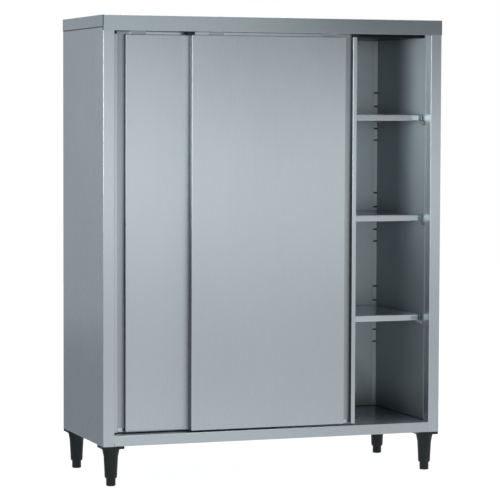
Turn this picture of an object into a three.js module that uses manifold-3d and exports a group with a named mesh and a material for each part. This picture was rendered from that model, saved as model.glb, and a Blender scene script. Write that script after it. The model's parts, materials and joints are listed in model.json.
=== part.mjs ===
import * as THREE from 'three';
import { mergeVertices } from 'three/addons/utils/BufferGeometryUtils.js';
import Module from 'manifold-3d';

// A stainless steel storage cabinet with two top-hung sliding doors, three lift-off shelves and four legs.
// Millimetres. X runs to the right, Y to the back, Z up. The origin lies on the floor under the middle.

const wasm = await Module();
wasm.setup();

// Overall sizes
const bodyWidth = 1400;
const bodyDepth = 570;
const overallHeight = 1800;
const legHeight = 156; // underside of the carcass above the floor

// Gaps shared by the whole cabinet
const seatGap = 0.3; // between pieces that lie on each other
const runningGap = 0.8; // between a moving piece and what it runs past
const overrun = 2; // how far a cut runs past the face it opens

// Carcass sheet metal
const bodySheet = 1.2;
const stileWidth = 45;
const returnDepth = 52; // from the stile's face back to the end of its inner return
const rearStileWidth = 54;
const rearReturnDepth = 15;
const railHeight = 40;
const railLipDepth = 16;
const backPanelDepth = 17;
const ceilingDrop = 66.8; // underside of the cap's sheet down to the ceiling
const ceilingFlange = 20;

// Cap over the carcass
const capSheet = 1.2;
const frontSkirtHeight = 59;
const sideSkirtHeight = 44.5;

// Inner wall of the double-skinned sides
const liningSheet = 1;
const liningStep = 5; // how far the inner wall stands back from the stile's return
const rackStripWidth = 20; // flange of the inner wall that laps over the back panel
const slotHeight = 5.5;
const rackSlotWidth = 13; // from the corner, across the flange
const frontSlotWidth = 8;
const frontSlotMargin = 1; // between the lining's front flange and the front slots

// Stiffener under the floor
const stiffenerWidth = 80;
const stiffenerFlange = 25;
const stiffenerLift = 4.5; // above the underside of the carcass

// Shelves
const firstShelfHeight = 427; // top of the lowest shelf above the floor
const shelfSpacing = 401;
const shelfCount = 3;
const shelfEdgeHeight = 24;
const shelfSheet = 1.2;
const shelfSideGap = 7;
const shelfFrontGap = 5; // behind the rear door
const shelfRearGap = 6;
const shelfHem = 12;
const shelfRibWidth = 40;
const shelfRibFlange = 15;
const shelfRibDepth = 18;

// Clips that carry the shelves
const clipSheet = 1.2;
const clipReach = 30; // from the inner wall towards the middle
const clipDrop = 17;
const clipSeatDepth = 15; // depth of the plate that the shelf lies on
const clipSeatSetback = 2.5; // behind the shelf's front face
const rearClipLength = 37;
const hookDrop = 7;
const hookSlack = 1.5; // sideways room of a hook in its slot

// Doors
const doorSheet = 1;
const doorThickness = 25;
const doorSetback = 12; // front door's face behind the stiles' face
const doorGap = 10; // between the two doors
const doorOverlap = 78; // of the two doors when both are shut
const doorTopGap = 12; // below the cap's front skirt
const doorBottomGap = 6.5;
const doorFold = 8; // width of the folded top and bottom edges
const trimShare = 1.5; // of the sheet, from an edge to where the trim of its fold starts
const grooveWidth = 31;
const lipWidth = 17;
const channelTuck = 20; // how far the handle channel reaches behind the face sheet
const skinRise = 15; // how far the inner skin stands above the door's top edge
const frontDoorOpenShare = 0.5; // of the front door's whole travel

// Black buffers on the doors' top corners
const bufferReach = 9.7; // past the door's edge
const bufferLength = 22;
const bufferHeight = 12;

// Hangers and rollers
const hangerSheet = 2;
const hangerWidth = 60;
const hangerMargin = 8; // between the hanger and the tucked edge of the handle channel
const hangerGrip = 38; // length of plate below the door's top edge
const hangerShoulder = 9; // plate above the axle
const axleRadius = 4;
const axleCollarRadius = 5.5;
const axleHeadRadius = 6;
const axleHeadThickness = 1.8;
const rollerRadius = 15;
const rollerWidth = 8;
const rollerBevel = 1;
const rollerBoreClearance = 0.1;

// Top track
const trackSheet = 1.5;
const trackLipThickness = 1;
const trackLipHeight = 2.5;
const rollerTopGap = 6;

// Bottom guide in the middle of the floor
const guideLength = 32;
const guideBaseThickness = 2.5;
const guideMargin = 4; // base in front of and behind the fins
const guideClearance = 1.5; // each side of a fin in its slot
const finEngagement = 9; // how far a fin reaches into its door
const notchMargin = 5; // notch above the fin

// Legs and feet
const legInset = 43; // leg's axis from the carcass's outer faces
const flangeThickness = 10;
const neckRadius = 35;
const waistRadius = 28;
const waistDrop = 42; // below the underside of the carcass
const shankRadius = 24.5;
const shankHeight = 44;
const legEndRadius = 21;
const threadClearance = 0.3; // round a stud or stem in its hole
const footRadius = 18.3;
const footHeight = 30;
const footBevel = 2.5;
const stemRadius = 5;
const stemLength = 62;
const stemRoom = 4; // above the stem's end when the foot is screwed in
const studRadius = 5;
const studOvershoot = 2; // above the nut
const plateThickness = 3;
const nutAcross = 17;
const nutHeight = 8;

// Numbers of flats on round pieces
const legSides = 32;
const rollerSides = 36;
const axleSides = 24;
const roundSteps = 4; // along a quarter round in a profile

// Heights of the free slots in the racks, as shares of the height from floor to ceiling
const rackSlotShares = [
  0.859, 0.822, 0.762, 0.7304,
  0.5863, 0.5483, 0.4863, 0.4542,
  0.3304, 0.2919, 0.2113, 0.1785,
];

// Places worked out from the sizes above
const halfWidth = bodyWidth / 2;
const frontY = -bodyDepth / 2;
const backY = bodyDepth / 2;
const openingHalf = halfWidth - stileWidth;
const rearOpeningHalf = halfWidth - rearStileWidth;
const floorTop = legHeight + railHeight;
const capUnder = overallHeight - capSheet;
const wallTop = capUnder - seatGap;
const skirtBottom = overallHeight - frontSkirtHeight;
const ceilingZ = capUnder - ceilingDrop;

const liningX = openingHalf + liningStep;
const hemWidth = liningStep + liningSheet;
const liningFrontY = frontY + returnDepth + seatGap;
const backPanelY = backY - backPanelDepth;
const stripY = backPanelY - seatGap - liningSheet;
const stripInnerX = liningX - rackStripWidth;

const laneSpacing = doorThickness + doorGap;
const frontFaceY = frontY + doorSetback;
const rearFaceY = frontFaceY + laneSpacing;
const rearDoorBackY = rearFaceY + doorThickness;
const doorEndSpace = bufferReach + seatGap;
const doorWidth = openingHalf - doorEndSpace + doorOverlap / 2;
const doorHalf = doorWidth / 2;
const shutCentre = openingHalf - doorEndSpace - doorHalf;
const doorBottom = floorTop + doorBottomGap;
const doorTop = skirtBottom - doorTopGap;
const skinTop = doorTop + skinRise;
const notchHeight = finEngagement + notchMargin;

const shelfFrontY = rearDoorBackY + shelfFrontGap;
const shelfBackY = stripY - shelfRearGap;
const shelfHalf = liningX - shelfSideGap;
const ceilingFrontY = shelfFrontY - runningGap;

const plateHalf = legInset - 2 * bodySheet - 2 * seatGap;
const waistHeight = legHeight - waistDrop;

// Places inside a door, measured from its face
const skinFront = doorThickness - doorSheet;
const grooveFloor = skinFront - seatGap - doorSheet;
const slotFront = doorFold;
const slotBack = skinFront - doorFold;
const panelEnd = doorHalf - lipWidth - grooveWidth;
const lipStart = doorHalf - lipWidth;
const hangerBack = skinFront - seatGap;
const hangerX = panelEnd - channelTuck - hangerMargin - hangerWidth / 2;
const hangerFront = hangerBack - hangerSheet;
const trackLipBack = hangerFront - runningGap;
const trackLipFront = trackLipBack - trackLipThickness;
const rollerBack = trackLipFront - runningGap;
const rollerFront = rollerBack - rollerWidth;
const axleHeadBack = rollerFront - seatGap;
const axleHeadFront = axleHeadBack - axleHeadThickness;
const trackWallBack = axleHeadFront - runningGap;
const trackWallFront = trackWallBack - trackSheet;

const webUnder = wallTop - trackSheet;
const axleZ = webUnder - rollerTopGap - rollerRadius;
const ledgeTop = axleZ - rollerRadius - seatGap;

// Looks
const steel = { color: 0x9aa4ad, roughness: 0.36, metalness: 0.9 };
const innerSteel = { color: 0x8b949c, roughness: 0.32, metalness: 0.9 };
const galvanised = { color: 0x8a8f94, roughness: 0.5, metalness: 0.85 };
const aluminium = { color: 0xa9adb2, roughness: 0.4, metalness: 0.9 };
const blackPlastic = { color: 0x1c1d1f, roughness: 0.55, metalness: 0 };
const nylon = { color: 0x2a2b2d, roughness: 0.45, metalness: 0 };

// Solids

function toSolid(geometry) {
  const bare = geometry.clone();
  bare.deleteAttribute('normal');
  bare.deleteAttribute('uv');
  const merged = mergeVertices(bare);
  const corners = Array.from(merged.index.array);
  const triangles = [];
  for (let i = 0; i < corners.length; i += 3) {
    const [a, b, c] = corners.slice(i, i + 3);
    const flat = a === b || b === c || c === a;
    if (!flat) triangles.push(a, b, c);
  }
  return new wasm.Manifold(new wasm.Mesh({
    numProp: 3,
    vertProperties: new Float32Array(merged.attributes.position.array),
    triVerts: new Uint32Array(triangles),
  }));
}

function toGeometry(solid) {
  const mesh = solid.getMesh();
  const geometry = new THREE.BufferGeometry();
  geometry.setAttribute('position', new THREE.BufferAttribute(mesh.vertProperties, 3));
  geometry.setIndex(new THREE.BufferAttribute(mesh.triVerts, 1));
  return geometry;
}

function piece(name, solid, look) {
  const material = new THREE.MeshStandardMaterial({ ...look, flatShading: true });
  const mesh = new THREE.Mesh(toGeometry(solid), material);
  mesh.name = name;
  return mesh;
}

function join(solids) {
  return solids.reduce((whole, next) => whole.add(next));
}

function cut(solid, tools) {
  return tools.reduce((rest, tool) => rest.subtract(tool), solid);
}

// A box between two places on each axis, given in either order
function block(xs, ys, zs) {
  const size = [xs, ys, zs].map(([from, to]) => Math.abs(to - from));
  const middle = [xs, ys, zs].map(([from, to]) => (from + to) / 2);
  return toSolid(new THREE.BoxGeometry(...size).translate(...middle));
}

function extrude(outline, length) {
  const shape = new THREE.Shape(outline.map(([u, v]) => new THREE.Vector2(u, v)));
  return new THREE.ExtrudeGeometry(shape, { depth: length, bevelEnabled: false });
}

// An outline of [x, y] points carried up between two heights
function extrudeUp(outline, [from, to]) {
  return toSolid(extrude(outline, to - from).translate(0, 0, from));
}

// An outline of [y, z] points carried along X
function extrudeAcross(outline, [from, to]) {
  const turn = new THREE.Matrix4().makeBasis(
    new THREE.Vector3(0, 1, 0),
    new THREE.Vector3(0, 0, 1),
    new THREE.Vector3(1, 0, 0),
  );
  return toSolid(extrude(outline, to - from).applyMatrix4(turn).translate(from, 0, 0));
}

// An outline of [x, z] points carried along Y, from the back place forward
function extrudeForward(outline, [from, to]) {
  const turn = new THREE.Matrix4().makeBasis(
    new THREE.Vector3(1, 0, 0),
    new THREE.Vector3(0, 0, 1),
    new THREE.Vector3(0, -1, 0),
  );
  return toSolid(extrude(outline, to - from).applyMatrix4(turn).translate(0, to, 0));
}

// A round bar along Y
function rod(radius, [from, to], z, sides) {
  const geometry = new THREE.CylinderGeometry(radius, radius, to - from, sides);
  return toSolid(geometry.translate(0, (from + to) / 2, z));
}

// A profile of [radius, height] points turned round the Z axis
function turned(profile, sides) {
  const points = profile.map(([radius, height]) => new THREE.Vector2(radius, height));
  return toSolid(new THREE.LatheGeometry(points, sides).rotateX(Math.PI / 2));
}

// The closed outline of a folded sheet: the path is its shown face and the sheet lies to the path's left
function sheetOutline(path, thickness) {
  const points = path.map(([u, v]) => new THREE.Vector2(u, v));
  const normals = points.slice(1).map((point, i) => {
    const along = point.clone().sub(points[i]).normalize();
    return new THREE.Vector2(-along.y, along.x);
  });
  const inner = points.map((point, i) => {
    const before = normals[Math.max(i - 1, 0)];
    const after = normals[Math.min(i, normals.length - 1)];
    const mitre = before.clone().add(after);
    const reach = 2 * thickness / mitre.lengthSq();
    return point.clone().addScaledVector(mitre, reach);
  });
  return [...points, ...inner.reverse()].map((point) => [point.x, point.y]);
}

function toSide(outline, side) {
  return outline.map(([x, y]) => [side * x, y]);
}

// Carcass

function sidePanel(side) {
  const path = [
    [openingHalf + hemWidth, frontY + returnDepth],
    [openingHalf, frontY + returnDepth],
    [openingHalf, frontY],
    [halfWidth, frontY],
    [halfWidth, backY],
    [rearOpeningHalf, backY],
    [rearOpeningHalf, backY - rearReturnDepth],
  ];
  const shell = extrudeUp(toSide(sheetOutline(path, bodySheet), side), [legHeight, wallTop]);
  // The returns stop above the floor, which passes under them
  const floorRoom = block(
    [side * (rearOpeningHalf - overrun), side * (halfWidth - bodySheet)],
    [frontY + bodySheet, backY - bodySheet],
    [legHeight - overrun, floorTop + seatGap],
  );
  return shell.subtract(floorRoom);
}

function usedSlotHeights() {
  return shelfTops().map((top) => clipTop(top) - clipSheet - seatGap + slotHeight / 2);
}

function freeSlotHeights() {
  return rackSlotShares.map((share) => floorTop + share * (ceilingZ - floorTop));
}

function sideLining(side) {
  const path = [
    [stripInnerX, stripY],
    [liningX, stripY],
    [liningX, liningFrontY],
    [halfWidth - bodySheet - seatGap, liningFrontY],
  ];
  const outline = toSide(sheetOutline(path, liningSheet), side);
  const shell = extrudeUp(outline, [floorTop + seatGap, wallTop]);
  const slots = [...freeSlotHeights(), ...usedSlotHeights()].flatMap((height) => {
    const span = [height - slotHeight / 2, height + slotHeight / 2];
    const rear = block(
      [side * (liningX - rackSlotWidth), side * (liningX + overrun)],
      [stripY - overrun, stripY + overrun],
      span,
    );
    const front = block([side * (liningX - overrun), side * (liningX + overrun)], frontSlotYs(), span);
    return [rear, front];
  });
  return cut(shell, slots);
}

function frontSlotYs() {
  const start = liningFrontY + liningSheet + frontSlotMargin;
  return [start, start + frontSlotWidth];
}

function backPanel() {
  const half = rearOpeningHalf - seatGap;
  const heights = [floorTop + seatGap, wallTop];
  const full = block([-half, half], [backPanelY, backY], heights);
  const hollow = block(
    [-half + bodySheet, half - bodySheet],
    [backPanelY + bodySheet, backY + overrun],
    [heights[0] + bodySheet, heights[1] - bodySheet],
  );
  return full.subtract(hollow);
}

function topCap() {
  const inner = { x: halfWidth + seatGap, y: backY + seatGap };
  const outer = { x: inner.x + capSheet, y: inner.y + capSheet };
  const full = block([-outer.x, outer.x], [-outer.y, outer.y], [skirtBottom, overallHeight]);
  const hollow = block([-inner.x, inner.x], [-inner.y, inner.y], [skirtBottom - overrun, capUnder]);
  const shorterSkirts = block(
    [-outer.x - overrun, outer.x + overrun],
    [-inner.y, outer.y + overrun],
    [skirtBottom - overrun, overallHeight - sideSkirtHeight],
  );
  return cut(full, [hollow, shorterSkirts]);
}

function ceilingPanel() {
  const half = liningX - seatGap;
  const narrow = stripInnerX - seatGap;
  const backEdge = stripY - seatGap;
  const sheet = [ceilingZ, ceilingZ + bodySheet];
  const flange = [ceilingZ, ceilingZ + ceilingFlange];
  return join([
    block([-half, half], [ceilingFrontY, backEdge], sheet),
    block([-narrow, narrow], [ceilingFrontY, backPanelY - seatGap], sheet),
    block([-half, half], [ceilingFrontY, ceilingFrontY + bodySheet], [ceilingZ, wallTop]),
    block([-half, -half + bodySheet], [ceilingFrontY, backEdge], flange),
    block([half - bodySheet, half], [ceilingFrontY, backEdge], flange),
  ]);
}

// Top track: a web under the cap and, in each lane, a hanging wall with the ledge that the rollers run on
function doorTrack() {
  const xs = [-openingHalf + seatGap, openingHalf - seatGap];
  const lanes = [frontFaceY, rearFaceY].map((face) => extrudeAcross([
    [face + trackWallFront, webUnder],
    [face + trackWallFront, ledgeTop - trackSheet],
    [face + trackLipBack, ledgeTop - trackSheet],
    [face + trackLipBack, ledgeTop + trackLipHeight],
    [face + trackLipFront, ledgeTop + trackLipHeight],
    [face + trackLipFront, ledgeTop],
    [face + trackWallBack, ledgeTop],
    [face + trackWallBack, webUnder],
  ], xs));
  const web = block(xs, [frontFaceY + trackWallFront, ceilingFrontY - seatGap], [webUnder, wallTop]);
  return join([web, ...lanes]);
}

function floorPan() {
  const reach = { x: halfWidth - bodySheet - seatGap, y: backY - bodySheet - seatGap };
  const railHalf = openingHalf - seatGap;
  const lipHalf = halfWidth - legInset - plateHalf - seatGap;
  const sheet = [floorTop - bodySheet, floorTop];
  const fold = [legHeight, floorTop];
  return join([
    block([-reach.x, reach.x], [-reach.y, reach.y], sheet),
    block([-railHalf, railHalf], [frontY, -reach.y + overrun], sheet),
    block([-railHalf, railHalf], [frontY, frontY + bodySheet], fold),
    block([-lipHalf, lipHalf], [frontY, frontY + railLipDepth], [legHeight, legHeight + bodySheet]),
    block([-reach.x, reach.x], [reach.y - bodySheet, reach.y], fold),
    block([-reach.x, -reach.x + bodySheet], [-reach.y, reach.y], fold),
    block([reach.x - bodySheet, reach.x], [-reach.y, reach.y], fold),
  ]);
}

// A hat section lying along X with its open side up, its brims at the given height
function hatSection(width, brim, depth, thickness, top, half) {
  const web = top - depth + thickness;
  const path = [
    [width / 2 + brim, top],
    [width / 2, top],
    [width / 2, web],
    [-width / 2, web],
    [-width / 2, top],
    [-width / 2 - brim, top],
  ];
  return extrudeAcross(sheetOutline(path, thickness), [-half, half]);
}

function floorStiffener() {
  const top = floorTop - bodySheet - seatGap;
  const depth = top - legHeight - stiffenerLift;
  const half = halfWidth - 2 * bodySheet - 2 * seatGap;
  return hatSection(stiffenerWidth, stiffenerFlange, depth, bodySheet, top, half);
}

function bottomGuide() {
  const base = floorTop + seatGap;
  const fins = [frontFaceY, rearFaceY].map((face) => block(
    [-guideLength / 2, guideLength / 2],
    [face + slotFront + guideClearance, face + slotBack - guideClearance],
    [base, doorBottom + finEngagement],
  ));
  const plate = block(
    [-guideLength / 2, guideLength / 2],
    [frontFaceY + slotFront - guideMargin, rearFaceY + slotBack + guideMargin],
    [base, base + guideBaseThickness],
  );
  return join([plate, ...fins]);
}

// Legs

// Square plate with a welded nut, at its own origin on the underside
function cornerPlate() {
  const plate = block([-plateHalf, plateHalf], [-plateHalf, plateHalf], [0, plateThickness]);
  const nutRadius = nutAcross / Math.sqrt(3);
  const nut = new THREE.CylinderGeometry(nutRadius, nutRadius, nutHeight, 6);
  const welded = toSolid(nut.rotateX(Math.PI / 2).translate(0, 0, plateThickness + nutHeight / 2));
  const boreRadius = studRadius + threadClearance;
  const boreTop = plateThickness + nutHeight + overrun;
  const bore = turned([
    [0, -overrun],
    [boreRadius, -overrun],
    [boreRadius, boreTop],
    [0, boreTop],
  ], axleSides);
  return plate.add(welded).subtract(bore);
}

// A quarter round in a profile, from a point facing down to one facing out
function quarterRound([startRadius, startHeight], [endRadius, endHeight]) {
  return Array.from({ length: roundSteps + 1 }, (_, i) => {
    const angle = (i / roundSteps) * (Math.PI / 2);
    return [
      startRadius + (endRadius - startRadius) * Math.sin(angle),
      endHeight - (endHeight - startHeight) * Math.cos(angle),
    ];
  });
}

// Moulded leg with a square flange, a top stud and a bore for the foot's stem
function leg() {
  const top = legHeight - seatGap;
  const boreRadius = stemRadius + threadClearance;
  const boreTop = footHeight + stemLength + stemRoom;
  const bottom = footHeight + seatGap;
  const studTop = legHeight + plateThickness + nutHeight + studOvershoot;
  const round = turned([
    [0, boreTop],
    [boreRadius, boreTop],
    [boreRadius, bottom],
    ...quarterRound([legEndRadius, bottom], [shankRadius, shankHeight]),
    [waistRadius, waistHeight],
    [neckRadius, top - flangeThickness],
    [neckRadius, top],
    [studRadius, top],
    [studRadius, studTop],
    [0, studTop],
  ], legSides);
  const flange = block([-legInset, legInset], [-legInset, legInset], [top - flangeThickness, top]);
  return round.add(flange);
}

function foot() {
  return turned([
    [0, 0],
    [footRadius - footBevel, 0],
    [footRadius, footBevel],
    [footRadius, footHeight],
    [stemRadius, footHeight],
    [stemRadius, footHeight + stemLength],
    [0, footHeight + stemLength],
  ], legSides);
}

// Shelves

function shelfTops() {
  return Array.from({ length: shelfCount }, (_, i) => floorTop + firstShelfHeight + i * shelfSpacing);
}

function clipTop(top) {
  return top - shelfEdgeHeight - seatGap;
}

// Shelf pan with its top face at height zero
function shelfPan() {
  const full = block([-shelfHalf, shelfHalf], [shelfFrontY, shelfBackY], [-shelfEdgeHeight, 0]);
  const hollow = block(
    [-shelfHalf + shelfSheet, shelfHalf - shelfSheet],
    [shelfFrontY + shelfSheet, shelfBackY - shelfSheet],
    [-shelfEdgeHeight - overrun, -shelfSheet],
  );
  const hem = block(
    [-shelfHalf, shelfHalf],
    [shelfFrontY, shelfFrontY + shelfHem],
    [-shelfEdgeHeight, -shelfEdgeHeight + shelfSheet],
  );
  return full.subtract(hollow).add(hem);
}

function shelfRib() {
  const half = shelfHalf - shelfSheet - seatGap;
  const top = -shelfSheet - seatGap;
  return hatSection(shelfRibWidth, shelfRibFlange, shelfRibDepth, shelfSheet, top, half);
}

// Front clip: a wall plate behind the return, hooked into the wall, with a gusset under its shelf plate
function frontClip(side) {
  const wall = liningX - seatGap;
  const [slotStart, slotEnd] = frontSlotYs();
  const seatFront = shelfFrontY + clipSeatSetback;
  const seatBack = seatFront + clipSeatDepth;
  const hookX = liningX + liningSheet + seatGap;
  const hookYs = [slotStart + hookSlack, slotEnd - hookSlack];
  return join([
    block([side * (wall - clipSheet), side * wall], [slotStart, seatBack], [-clipDrop, 0]),
    block([side * (wall - clipReach), side * wall], [seatFront, seatBack], [-clipSheet, 0]),
    clipGusset(side, wall, [seatFront, seatFront + clipSheet]),
    block([side * (wall - clipSheet), side * (hookX + clipSheet)], hookYs, [-clipSheet, 0]),
    block([side * hookX, side * (hookX + clipSheet)], hookYs, [-hookDrop, 0]),
  ]);
}

// Rear clip: a shelf plate whose end hooks through the inner wall's flange, with a gusset at its front
function rearClip(side) {
  const wall = liningX - seatGap;
  const back = stripY - seatGap;
  const front = back - rearClipLength;
  const hookXs = [side * (liningX - rackSlotWidth + hookSlack), side * (liningX - hookSlack)];
  const hookY = stripY + liningSheet + seatGap;
  return join([
    block([side * (wall - clipSheet), side * wall], [front, back], [-clipDrop, 0]),
    block([side * (wall - clipReach), side * wall], [front, back], [-clipSheet, 0]),
    clipGusset(side, wall, [front, front + clipSheet]),
    block(hookXs, [back - clipSheet, hookY + clipSheet], [-clipSheet, 0]),
    block(hookXs, [hookY, hookY + clipSheet], [-hookDrop, 0]),
  ]);
}

function clipGusset(side, wall, ys) {
  const outline = toSide([[wall - clipReach, 0], [wall, 0], [wall, -clipDrop]], side);
  return extrudeForward(outline, ys);
}

// Doors, each in its own frame: X from its middle, Y from its face, handle at the right for a hand of 1

// Room at the bottom for the guide's fin and the inner skin's folded edge
function guideNotch(half) {
  return block([-half, half], [slotFront, skinFront], [doorBottom - overrun, doorBottom + notchHeight]);
}

// Face sheet with its outer edge, its top and bottom edges and the groove's near side folded back.
// It is a block hollowed from behind, then trimmed. Each trim starts half a sheet inside the hollow,
// so that no two cuts end on the same plane.
function outerSkin(hand) {
  const past = doorThickness + overrun;
  const low = doorBottom - overrun;
  const high = doorTop + overrun;
  const trim = doorSheet * trimShare;
  const inside = [-doorHalf + doorSheet, panelEnd - doorSheet].map((x) => hand * x);
  const across = [-doorHalf - overrun, panelEnd + overrun].map((x) => hand * x);
  const grooveSide = [panelEnd - 2 * doorSheet, panelEnd + overrun].map((x) => hand * x);
  const full = block([-hand * doorHalf, hand * panelEnd], [0, skinFront - seatGap], [doorBottom, doorTop]);
  return cut(full, [
    block(inside, [doorSheet, past], [doorBottom + doorSheet, doorTop - doorSheet]),
    block(across, [doorFold, past], [doorTop - trim, high]),
    block(across, [doorFold, past], [low, doorBottom + trim]),
    block(grooveSide, [grooveFloor - seatGap, past], [low, high]),
    block(grooveSide, [doorFold - doorSheet, past], [low, doorBottom + notchHeight]),
  ]);
}

function handleChannel(hand) {
  const path = [
    [panelEnd - channelTuck, grooveFloor],
    [lipStart, grooveFloor],
    [lipStart, 0],
    [doorHalf, 0],
    [doorHalf, skinFront - seatGap],
  ];
  const shell = extrudeUp(toSide(sheetOutline(path, doorSheet), hand), [doorBottom, doorTop]);
  const risingFloor = block(
    [hand * (panelEnd - channelTuck), hand * (lipStart + doorSheet)],
    [grooveFloor, grooveFloor + doorSheet],
    [doorTop - overrun, skinTop],
  );
  return shell.add(risingFloor).subtract(guideNotch(doorHalf - doorSheet));
}

function innerSkin() {
  const foldHalf = doorHalf - doorSheet - seatGap;
  return join([
    block([-doorHalf, doorHalf], [skinFront, doorThickness], [doorBottom, skinTop]),
    block([-foldHalf, foldHalf], [slotBack, skinFront + doorSheet], [doorBottom, doorBottom + doorSheet]),
  ]);
}

function doorBuffer(end) {
  return block(
    [end * (doorHalf + bufferReach), end * (doorHalf + bufferReach - bufferLength)],
    [doorSheet, skinFront - seatGap],
    [doorTop + seatGap, doorTop + seatGap + bufferHeight],
  );
}

// Hanger plate with its axle, in line with X zero
function hanger() {
  const plate = block(
    [-hangerWidth / 2, hangerWidth / 2],
    [hangerFront, hangerBack],
    [doorTop - hangerGrip, axleZ + hangerShoulder],
  );
  return join([
    plate,
    rod(axleRadius, [axleHeadFront, hangerBack], axleZ, axleSides),
    rod(axleCollarRadius, [rollerBack + seatGap, hangerBack], axleZ, axleSides),
    rod(axleHeadRadius, [axleHeadFront, axleHeadBack], axleZ, axleSides),
  ]);
}

// Roller at its own origin, its axis along Y
function roller() {
  const half = rollerWidth / 2;
  const bore = axleRadius + rollerBoreClearance;
  const rim = rollerRadius - rollerBevel;
  const profile = [
    [bore, -half],
    [rim, -half],
    [rollerRadius, -half + rollerBevel],
    [rollerRadius, half - rollerBevel],
    [rim, half],
    [bore, half],
    [bore, -half],
  ].map(([radius, along]) => new THREE.Vector2(radius, along));
  return toSolid(new THREE.LatheGeometry(profile, rollerSides));
}

// The cabinet put together

function carcass() {
  const group = new THREE.Group();
  group.add(
    piece('side_panel_left', sidePanel(-1), steel),
    piece('side_panel_right', sidePanel(1), steel),
    piece('side_lining_left', sideLining(-1), innerSteel),
    piece('side_lining_right', sideLining(1), innerSteel),
    piece('back_panel', backPanel(), innerSteel),
    piece('top_cap', topCap(), steel),
    piece('ceiling_panel', ceilingPanel(), innerSteel),
    piece('door_track', doorTrack(), aluminium),
    piece('floor_pan', floorPan(), steel),
    piece('floor_stiffener', floorStiffener(), galvanised),
    piece('bottom_guide', bottomGuide(), nylon),
  );
  return group;
}

function legs() {
  const group = new THREE.Group();
  const rows = [['front', frontY + legInset], ['back', backY - legInset]];
  const columns = [['left', -halfWidth + legInset], ['right', halfWidth - legInset]];
  for (const [row, y] of rows) {
    for (const [column, x] of columns) {
      const corner = new THREE.Group();
      const plate = piece(`corner_plate_${row}_${column}`, cornerPlate(), galvanised);
      plate.position.z = legHeight;
      corner.add(
        plate,
        piece(`leg_${row}_${column}`, leg(), blackPlastic),
        piece(`foot_${row}_${column}`, foot(), blackPlastic),
      );
      corner.position.set(x, y, 0);
      group.add(corner);
    }
  }
  return group;
}

function shelves() {
  const group = new THREE.Group();
  shelfTops().forEach((top, i) => {
    const number = i + 1;
    const shelf = new THREE.Group();
    shelf.add(
      piece(`shelf_${number}`, shelfPan(), innerSteel),
      piece(`shelf_rib_${number}`, shelfRib(), galvanised),
    );
    shelf.position.z = top;
    const clips = new THREE.Group();
    for (const [word, side] of [['left', -1], ['right', 1]]) {
      clips.add(
        piece(`shelf_clip_${number}_front_${word}`, frontClip(side), galvanised),
        piece(`shelf_clip_${number}_back_${word}`, rearClip(side), galvanised),
      );
    }
    clips.position.z = clipTop(top);
    group.add(shelf, clips);
  });
  return group;
}

function door(name, hand, centre, face) {
  const group = new THREE.Group();
  group.add(
    piece(`${name}_outer_skin`, outerSkin(hand), steel),
    piece(`${name}_handle_channel`, handleChannel(hand), steel),
    piece(`${name}_inner_skin`, innerSkin(), innerSteel),
  );
  for (const [word, end] of [['left', -1], ['right', 1]]) {
    const hung = piece(`${name}_hanger_${word}`, hanger(), galvanised);
    hung.position.x = end * hangerX;
    const wheel = piece(`${name}_roller_${word}`, roller(), nylon);
    wheel.position.set(hung.position.x, (rollerFront + rollerBack) / 2, axleZ);
    group.add(hung, wheel, piece(`${name}_buffer_${word}`, doorBuffer(end), nylon));
  }
  group.position.set(centre, face, 0);
  return group;
}

const cabinet = new THREE.Group();
cabinet.add(
  carcass(),
  legs(),
  shelves(),
  door('front_door', 1, shutCentre * (1 - 2 * frontDoorOpenShare), frontFaceY),
  door('rear_door', -1, -shutCentre, rearFaceY),
);

export default cabinet;
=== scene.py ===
# %% [markdown]
# # A stainless steel cupboard with two sliding doors
# The cupboard is folded from thin steel sheet and stands on four black legs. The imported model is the
# frame for everything here: it says where each piece is and how it moves. The pieces made below refine
# it with rounded bends, real sheet thickness and a brushed finish, so they take their places from the
# frame's boxes.

# %% Load the frame
import json

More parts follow.
